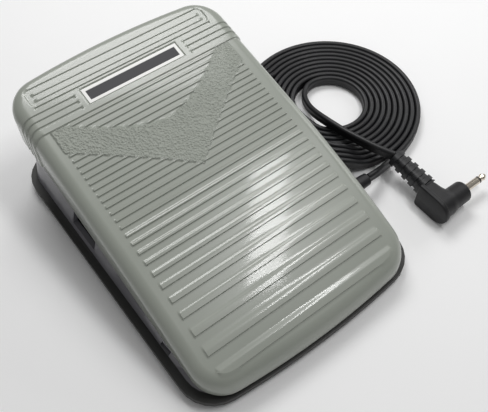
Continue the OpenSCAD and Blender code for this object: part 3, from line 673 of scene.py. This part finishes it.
def join_rings(inner, outer, inner_ends=None):
    for side, (a, b) in enumerate(zip(inner, outer)):
        for i in range(len(rows) - 1):
            quad = (a[i], a[i + 1], b[i + 1], b[i])
            skin_mesh.faces.new(quad if side else quad[::-1])
    for end, flip in ((0, False), (-1, True)):
        between = inner_ends[end][1:-1] if inner_ends else []
        loop = [inner[0][end]] + between + [inner[1][end], outer[1][end], outer[0][end]]
        skin_mesh.faces.new(loop if flip else loop[::-1])


rings = [[[line[0] for line in top], [line[-1] for line in top]]]
rings += [ring_of(t) for t in (82, 72, 60, 48, 36, 24, 12, 0)]
rings += [ring_of(0, 0.06), ring_of(0, 0.5), ring_of(0, 0.985), ring_of(0, 1, -0.12), ring_of(0, 1, -0.3)]
for i, (inner, outer) in enumerate(zip(rings, rings[1:])):
    join_rings(inner, outer, top if i == 0 else None)
skin_t = 0.36
under = [ring_of(t, drop, -skin_t) for t, drop in ((0, 0.5), (0, 0.06), (30, 0), (60, 0))]
inside = [rings[-1]] + under
for inner, outer in zip(inside, inside[1:]):
    join_rings(inner, outer)
lining = []
for i, y in enumerate(rows):
    half, _ = crease_point(y)
    middle = [skin_mesh.verts.new(Vector((u * half, y, top_z(y) - 0.3)) * mm)
              for u in (-0.98, -0.5, 0, 0.5, 0.98)]
    lining.append([under[-1][0][i]] + middle + [under[-1][1][i]])
for low, high in zip(lining, lining[1:]):
    for i in range(len(low) - 1):
        skin_mesh.faces.new((low[i], high[i], high[i + 1], low[i + 1]))
for end in (0, -1):
    skin_mesh.faces.new(lining[end] if end else lining[end][::-1])
skin = finished(skin_mesh, "cover_skin", 38)

shell_plastic = Finish("cover_plastic", Specular_IOR_Level=0.55, Coat_Roughness=0.08)
panel_mask = shell_plastic.start.node("Attribute", {"attribute_name": "grain"}, out=2)
shell_cloud = shell_plastic.noise(25, 3)
shell_plastic.wire("Base Color", shell_cloud.blend(linear(147, 152, 143), linear(157, 161, 152)))
pores = shell_plastic.start.node("TexVoronoi", {"feature": "SMOOTH_F1"},
                                 {"Vector": shell_plastic.place, "Scale": 1050.0, "Smoothness": 0.4})
wrinkle = shell_plastic.noise(700, 3, 0.6)
smear = shell_plastic.noise(90, 4, 0.6, (0.3, 1, 1))
shell_plastic.wire("Roughness", smear * 0.12 + 0.26 + panel_mask * 0.22)
ripple = shell_plastic.noise(70, 2) * 0.12
shell_plastic.bump((pores * 0.9 + wrinkle) * panel_mask * 4.5 + ripple, 0.7, 0.00022)
shell_plastic.wire("Coat Weight", smear * 0.2 + (1 - panel_mask) * 0.35)
skin.data.materials.append(shell_plastic.material)
broken_edges("pedal_cover", shell_plastic.material, 0)
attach(skin, "cover")
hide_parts("pedal_cover")


# ---------------------------------------------------------------- the nameplate and its rim
# A blank dark grey plate let into a white plastic frame, both pressed into a pocket of the collar.
seat = Vector((0, plate_y, top_z(plate_y)))
toe_up = Vector((0, -math.sin(toe_angle), math.cos(toe_angle)))
toe_along = Vector((0, math.cos(toe_angle), math.sin(toe_angle)))


def toe_point(x, y, z):
    """A point in the frame of the flat toe part, whose origin is on the plain shell at plate_y."""
    return (seat + Vector((x, 0, 0)) + toe_along * y + toe_up * z) * mm


def toe_box(made, low, high):
    v = [made.verts.new(toe_point(x, y, z)) for z in (low[2], high[2])
         for x, y in ((low[0], low[1]), (high[0], low[1]), (high[0], high[1]), (low[0], high[1]))]
    for face in ((3, 2, 1, 0), (4, 5, 6, 7), (0, 1, 5, 4), (1, 2, 6, 5), (2, 3, 7, 6), (3, 0, 4, 7)):
        made.faces.new([v[i] for i in face])


def soften(piece, width, segments=3, angle=30):
    edge = piece.modifiers.new("edge", "BEVEL")
    edge.width, edge.segments, edge.limit_method = width * mm, segments, "ANGLE"
    edge.angle_limit = math.radians(angle)


rim_mesh = bmesh.new()
w, h = plate_w / 2, plate_h / 2
outer = [(-w, -h), (w, -h), (w, h), (-w, h)]
inner = [(x - math.copysign(rim_w, x), y - math.copysign(rim_w, y)) for x, y in outer]
foot_z, rim_z, plate_z = -0.8, 0.42, 0.26
levels = [[rim_mesh.verts.new(toe_point(x, y, z)) for x, y in outline]
          for outline, z in ((outer, foot_z), (outer, rim_z), (inner, rim_z), (inner, foot_z))]
for a, b in zip(levels, levels[1:] + levels[:1]):
    for i in range(4):
        rim_mesh.faces.new((a[i], a[(i + 1) % 4], b[(i + 1) % 4], b[i]))
rim = finished(rim_mesh, "nameplate_frame")
soften(rim, 0.14)
white = Finish("rim_white", Roughness=0.35)
white.wire("Base Color", white.noise(200).blend(linear(232, 232, 228), linear(240, 240, 238)))
white.bump(white.noise(900, 2), 0.1, 0.00004)
rim.data.materials.append(white.material)
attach(rim, "cover")
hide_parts("nameplate_rim")

plate_mesh = bmesh.new()
toe_box(plate_mesh, (rim_w - w, rim_w - h, foot_z), (w - rim_w, h - rim_w, plate_z))
plate = finished(plate_mesh, "nameplate_blank")
soften(plate, 0.08, 2)
grey_film = Finish("plate_grey", Specular_IOR_Level=0.25, Roughness=0.5)
brush = grey_film.noise(300, 3, 0.6, (0.05, 1, 1))
grey_film.wire("Base Color", brush.blend(linear(58, 58, 61), linear(68, 68, 71)))
grey_film.bump(brush, 0.12, 0.00003)
plate.data.materials.append(grey_film.material)
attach(plate, "cover")
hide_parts("nameplate")


# ---------------------------------------------------------------- the base tray
# A moulded tray in one grey plastic, with a fine-grained flange round its foot and a glossy wall that rises
# into the cover. The flange's near-black colour is painted shade, and the wall's faint lavender tint is a
# painted reflection. The cover's catches look out through a window on each side.
tray_plastic = Finish("base_plastic", Specular_IOR_Level=0.5, Coat_Roughness=0.12)
tray_wall = tray_plastic.axis(2).above(0.0050, 0.0053)
tray_cloud = tray_plastic.noise(35, 3)
# The colour splits at 5 mm. Below it the flange gets a near-black painted shade. Above it the wall gets grey
# with a faint lavender painted reflection.
wall_grey_and_painted_reflection = tray_cloud.blend(linear(104, 103, 108), linear(118, 117, 122))
flange_painted_shade = tray_plastic.noise(300).blend(linear(38, 38, 36), linear(46, 46, 44))
tray_plastic.wire("Base Color", tray_wall.blend(flange_painted_shade, wall_grey_and_painted_reflection))
tray_plastic.wire("Roughness", 0.5 - tray_wall * 0.24 + tray_cloud * 0.06)
tray_plastic.wire("Coat Weight", tray_wall * 0.4)
tray_plastic.bump(tray_plastic.noise(1500, 2) * (1 - tray_wall) + tray_cloud * 0.3, 0.25, 0.0001)
broken_edges("base_tray", tray_plastic.material, 0.35, 40)

# ---------------------------------------------------------------- the hinge
# A steel rod through the base's bosses and the cover's lugs, held at each end by a sprung clip in a
# groove. Drawn steel, lightly oiled.
steel = Finish("hinge_steel", Metallic=1.0)
drawn = steel.noise(400, 4, 0.6, (0.08, 1, 1))
steel.wire("Base Color", drawn.blend(linear(150, 151, 154), linear(186, 187, 190)))
steel.wire("Roughness", drawn * 0.2 + 0.22)
steel.bump(drawn, 0.15, 0.00003)
broken_edges("hinge_rod", steel.material, 0.12)
spring_steel = Finish("spring_steel", Metallic=1.0)
temper = spring_steel.noise(350, 3)
spring_steel.wire("Base Color", temper.blend(linear(120, 122, 128), linear(160, 162, 168)))
spring_steel.wire("Roughness", temper * 0.15 + 0.24)
broken_edges("hinge_clips", spring_steel.material, 0.08)


# ---------------------------------------------------------------- the return springs
# Two compression springs of round wire with closed ends. Each stands in a nylon cup on the base
# and pushes the cover up.
class Growth:
    """A Geometry Nodes tree with named inputs, grown on an object's mesh and kept as plain mesh."""

    def __init__(self, name, inputs, finish):
        self.tree = bpy.data.node_groups.new(name, "GeometryNodeTree")
        face = self.tree.interface
        face.new_socket("Geometry", in_out="INPUT", socket_type="NodeSocketGeometry")
        self.ids = {}
        for label, value in inputs.items():
            kind = {int: "NodeSocketInt", float: "NodeSocketFloat"}[type(value)]
            socket = face.new_socket(label, in_out="INPUT", socket_type=kind)
            socket.default_value = value
            self.ids[label] = socket.identifier
        face.new_socket("Geometry", in_out="OUTPUT", socket_type="NodeSocketGeometry")
        self.given = self.tree.nodes.new("NodeGroupInput")
        self.finish = finish

    def put(self, label):
        return self.given.outputs[label]

    def node(self, kind, sockets=None, out=0, **settings):
        made = self.tree.nodes.new(kind)
        for name, value in settings.items():
            setattr(made, name, value)
        for name, value in (sockets or {}).items():
            for link in value if isinstance(value, list) else [value]:
                if isinstance(link, bpy.types.NodeSocket):
                    self.tree.links.new(link, made.inputs[name])
                else:
                    made.inputs[name].default_value = link
        return made.outputs[out]

    def math(self, operation, *values):
        return self.node("ShaderNodeMath", dict(enumerate(values)), operation=operation)

    def end(self, geometry):
        whole = self.node("GeometryNodeRealizeInstances", {0: geometry})
        whole = self.node("GeometryNodeSetMaterial", {"Geometry": whole, "Material": self.finish.material})
        self.tree.links.new(whole, self.tree.nodes.new("NodeGroupOutput").inputs[0])

    def grow(self, name, points, body, slot, nodes, **values):
        seed = bpy.data.meshes.new(name + "_points")
        seed.from_pydata([Vector(p) * mm for p in points], [], [])
        piece = bpy.data.objects.new(name, seed)
        scene.collection.objects.link(piece)
        modifier = piece.modifiers.new("growth", "NODES")
        modifier.node_group = self.tree
        for label, value in values.items():
            modifier[self.ids[label]] = value
        grown = bpy.data.meshes.new_from_object(piece.evaluated_get(bpy.context.evaluated_depsgraph_get()))
        piece.modifiers.remove(modifier)
        piece.data = grown
        grown.shade_smooth()
        grown.set_sharp_from_angle(angle=math.radians(35))
        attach(piece, body)
        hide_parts(*nodes)
        return piece


coil_growth = Growth("coil_spring", {"Radius": 4.05 * mm, "Wire": 0.45 * mm, "Turns": 8.0,
                                     "Height": 28.9 * mm}, spring_steel)
helix = coil_growth.node("GeometryNodeCurveSpiral", {
    "Resolution": 36, "Rotations": coil_growth.put("Turns"), "Start Radius": coil_growth.put("Radius"),
    "End Radius": coil_growth.put("Radius"), "Height": coil_growth.put("Height")})
place = coil_growth.node("GeometryNodeInputPosition")
height = coil_growth.node("ShaderNodeSeparateXYZ", {0: place}, 2)
share = coil_growth.math("DIVIDE", height, coil_growth.put("Height"))
eased = coil_growth.node("ShaderNodeMapRange", {"Value": share, "From Min": 0.075, "From Max": 0.925},
                         interpolation_type="SMOOTHSTEP")
shift = coil_growth.math("MULTIPLY", coil_growth.math("SUBTRACT", eased, share), 0.35)
shift = coil_growth.math("MULTIPLY", shift, coil_growth.put("Height"))
helix = coil_growth.node("GeometryNodeSetPosition", {
    "Geometry": helix, "Offset": coil_growth.node("ShaderNodeCombineXYZ", {2: shift})})
wire_round = coil_growth.node("GeometryNodeCurvePrimitiveCircle", {
    "Resolution": 12, "Radius": coil_growth.put("Wire")})
wire = coil_growth.node("GeometryNodeCurveToMesh", {"Curve": helix, "Profile Curve": wire_round,
                                                    "Fill Caps": True})
coil_growth.end(coil_growth.node("GeometryNodeInstanceOnPoints", {
    "Points": coil_growth.node("GeometryNodeMeshToPoints", {0: coil_growth.put("Geometry")}),
    "Instance": wire}))
for side, x in (("left", -30), ("right", 30)):
    coil_growth.grow("return_coil_" + side, [(x, 20, 6.05)], "base", "spring_steel",
                     ["return_spring_" + side])

nylon = Finish("natural_nylon", Roughness=0.45, Subsurface_Weight=0.1)
nylon.wire("Base Color", nylon.noise(80).blend(linear(222, 220, 208), linear(232, 231, 222)))
nylon.bump(nylon.noise(700, 2), 0.12, 0.00005)
broken_edges("spring_cups", nylon.material, 0.25)

# ---------------------------------------------------------------- the speed control
# A toothed nylon sector, screwed up under the cover, turns the pinion on the control's shaft. The
# control stands in a folded steel bracket on the tray's floor, held by its nut.
broken_edges("sector_gear", nylon.material, 0.1, 50)
broken_edges("pot_pinion", nylon.material, 0.06, 50)
zinc = Finish("bracket_zinc", Metallic=1.0)
spangle = zinc.start.node("TexVoronoi", None, {"Vector": zinc.place, "Scale": 260.0})
zinc.wire("Base Color", zinc.noise(120).blend(linear(168, 170, 172), linear(192, 193, 196)))
zinc.wire("Roughness", spangle * 0.3 + 0.26)
zinc.bump(zinc.noise(500, 3), 0.08, 0.00003)
broken_edges("pot_bracket", zinc.material, 0.15)
broken_edges("pot_nut", steel.material, 0.12)
broken_edges("pot_shaft", steel.material, 0.15)
case = Finish("control_case", Roughness=0.36)
case.wire("Base Color", case.noise(150).blend(linear(54, 72, 96), linear(64, 84, 108)))
case.bump(case.noise(1200, 2), 0.2, 0.00005)
broken_edges("pot_body", case.material, 0.3)

# ---------------------------------------------------------------- the ballast plate
# A flat iron plate, screwed to the tray's floor, that keeps the pedal from sliding and tipping. Its
# rolled surface is bare and rough.
iron = Finish("ballast_iron", Metallic=0.2)
scale_marks = iron.noise(160, 5, 0.65)
iron.wire("Base Color", scale_marks.blend(linear(62, 60, 58), linear(86, 82, 78)))
iron.wire("Roughness", scale_marks * 0.25 + 0.45)
iron.bump(scale_marks, 0.4, 0.0002)
broken_edges("ballast_plate", iron.material, 0.3)

# ---------------------------------------------------------------- the circuit board and its parts
# A glass-epoxy board on four posts, with a terminal block for the lead, two resistors and a capacitor.
board_green = Finish("board_green", Roughness=0.32)
weave = board_green.noise(900, 2)
tracks = board_green.start.node("TexBrick", {"offset": 0.37}, {
    "Vector": board_green.place, "Scale": 110.0, "Mortar Size": 0.03, "Brick Width": 0.9,
    "Row Height": 0.35}, 1)
board_green.wire("Base Color", tracks.blend(linear(24, 92, 50), linear(44, 124, 70)))
board_green.bump(tracks * 0.5 + weave * 0.1, 0.3, 0.00005)
broken_edges("circuit_board", board_green.material, 0.1)
dark_part = Finish("part_black", Roughness=0.38)
block_side = dark_part.axis(0).above(-0.0006, 0.0006)
dark_part.wire("Base Color", block_side.blend(linear(196, 170, 128), linear(34, 36, 42)))
dark_part.bump(dark_part.noise(1200, 2), 0.15, 0.00004)
broken_edges("board_parts", dark_part.material, 0.2)

# ---------------------------------------------------------------- the wires and the lead's clamp
# The lead's end is held by a nylon clamp under two screws. Its two stranded cores run on to the
# terminal block. The real cores are red and white, and both are drawn red.
wire_cover = Finish("wire_cover", Roughness=0.42)
wire_cover.wire("Base Color", wire_cover.noise(120).blend(linear(150, 34, 28), linear(172, 44, 36)))
broken_edges("lead_wires", wire_cover.material, 0)
broken_edges("cord_tail", pvc.material, 0.8)
broken_edges("cord_clamp", nylon.material, 0.25)

# ---------------------------------------------------------------- the screws
# Zinc-plated pan-head screws with a cross recess, driven into the tray's posts and the cover's bosses.
plated = Finish("zinc_screws", Metallic=1.0)
plate_stain = plated.noise(600, 3)
plated.wire("Base Color", plate_stain.blend(linear(176, 178, 182), linear(206, 207, 210)))
plated.wire("Roughness", plate_stain * 0.16 + 0.2)
screw_growth = Growth("pan_head_screws", {"Head": 2.4 * mm, "Shank": 1.2 * mm, "Length": 4.0 * mm,
                                          "Turned": 0.0}, plated)


def drum(growth, radius, depth, z, top_radius=None):
    part = growth.node("GeometryNodeMeshCone", {
        "Vertices": 32, "Radius Top": radius if top_radius is None else top_radius,
        "Radius Bottom": radius, "Depth": depth})
    return growth.node("GeometryNodeTransform", {"Geometry": part, "Translation": z})


below = screw_growth.math("MULTIPLY", screw_growth.put("Length"), -1)
lift = screw_growth.node("ShaderNodeCombineXYZ", {2: below})
narrow = screw_growth.math("SUBTRACT", screw_growth.put("Head"), 0.7 * mm)
head = drum(screw_growth, screw_growth.put("Head"), 0.8 * mm, (0, 0, 0))
crown = drum(screw_growth, screw_growth.put("Head"), 0.65 * mm, (0, 0, 0.8 * mm), narrow)
slot_a = screw_growth.node("GeometryNodeMeshCube", {"Size": (3.0 * mm, 0.65 * mm, 1.6 * mm)})
slot_b = screw_growth.node("GeometryNodeMeshCube", {"Size": (0.65 * mm, 3.0 * mm, 1.6 * mm)})
slots = screw_growth.node("GeometryNodeTransform", {
    "Geometry": screw_growth.node("GeometryNodeJoinGeometry", {0: [slot_a, slot_b]}),
    "Translation": (0, 0, 1.6 * mm)})
crown = screw_growth.node("GeometryNodeMeshBoolean", {"Mesh 1": crown, "Mesh 2": slots},
                          operation="DIFFERENCE", solver="EXACT")
shank = drum(screw_growth, screw_growth.put("Shank"), screw_growth.put("Length"), lift)
screw_shape = screw_growth.node("GeometryNodeJoinGeometry", {0: [head, crown, shank]})
turn = screw_growth.node("ShaderNodeCombineXYZ", {0: screw_growth.put("Turned")})
screw_growth.end(screw_growth.node("GeometryNodeInstanceOnPoints", {
    "Points": screw_growth.node("GeometryNodeMeshToPoints", {0: screw_growth.put("Geometry")}),
    "Instance": screw_shape, "Rotation": turn}))

hinge_y, gear_gap, mesh_angle, shell_t, sector_t = -62, 65, math.radians(8), 2.2, 2.4
pinion_y = hinge_y + gear_gap * math.cos(mesh_angle)
sector_top = top_z(pinion_y - 29) - shell_t - sector_t
for name, points, deep in (
        ("ballast_screws", [(-36.5, -35.5, 7.4), (12, -35.5, 7.4)], 4.2),
        ("board_screws", [(x, y, 10) for x in (-24.5, 24.5) for y in (31.5, 58.5)], 5.6),
        ("bracket_screws", [(20, pinion_y - 7, 5.9), (20, pinion_y + 7, 5.9)], 2.7),
        ("clamp_screws", [(38.5, -36, 13.7), (38.5, -26, 13.7)], 9.6)):
    screw_growth.grow(name + "_turned", points, "base", "zinc_screws", [name], Length=deep * mm)
screw_growth.grow("sector_screws_turned",
                  [(x, pinion_y + y, sector_top - 2) for x in (-4.8, 4.8) for y in (-26, -14)],
                  "cover", "zinc_screws", ["sector_screws"], Length=5 * mm, Turned=math.pi)

# ---------------------------------------------------------------- the rubber feet and bumpers
# Four round rubber feet glued into recesses under the flange, each with a step at its foot, and two
# round bumpers on posts that the cover comes down on.
rubber = Finish("foot_rubber", Roughness=0.78)
rubber_dust = rubber.noise(400, 4)
rubber.wire("Base Color", rubber_dust.blend(linear(26, 26, 27), linear(38, 38, 39)))
rubber.bump(rubber_dust, 0.3, 0.00008)
foot_growth = Growth("grip_feet", {"Radius": 5.5 * mm, "Height": 2.6 * mm}, rubber)
disc = drum(foot_growth, foot_growth.put("Radius"), 2.2 * mm, (0, 0, 0.4 * mm))
tread = drum(foot_growth, 5.0 * mm, 0.4 * mm, (0, 0, 0), 5.25 * mm)
foot_shape = foot_growth.node("GeometryNodeJoinGeometry", {0: [disc, tread]})
foot_growth.end(foot_growth.node("GeometryNodeInstanceOnPoints", {
    "Points": foot_growth.node("GeometryNodeMeshToPoints", {0: foot_growth.put("Geometry")}),
    "Instance": foot_shape}))
foot_growth.grow("grip_feet", [(x, y, 0) for x in (-44, 44) for y in (-62, 62)], "base", "foot_rubber",
                 ["rubber_feet"])
broken_edges("stop_bumpers", rubber.material, 0.4)
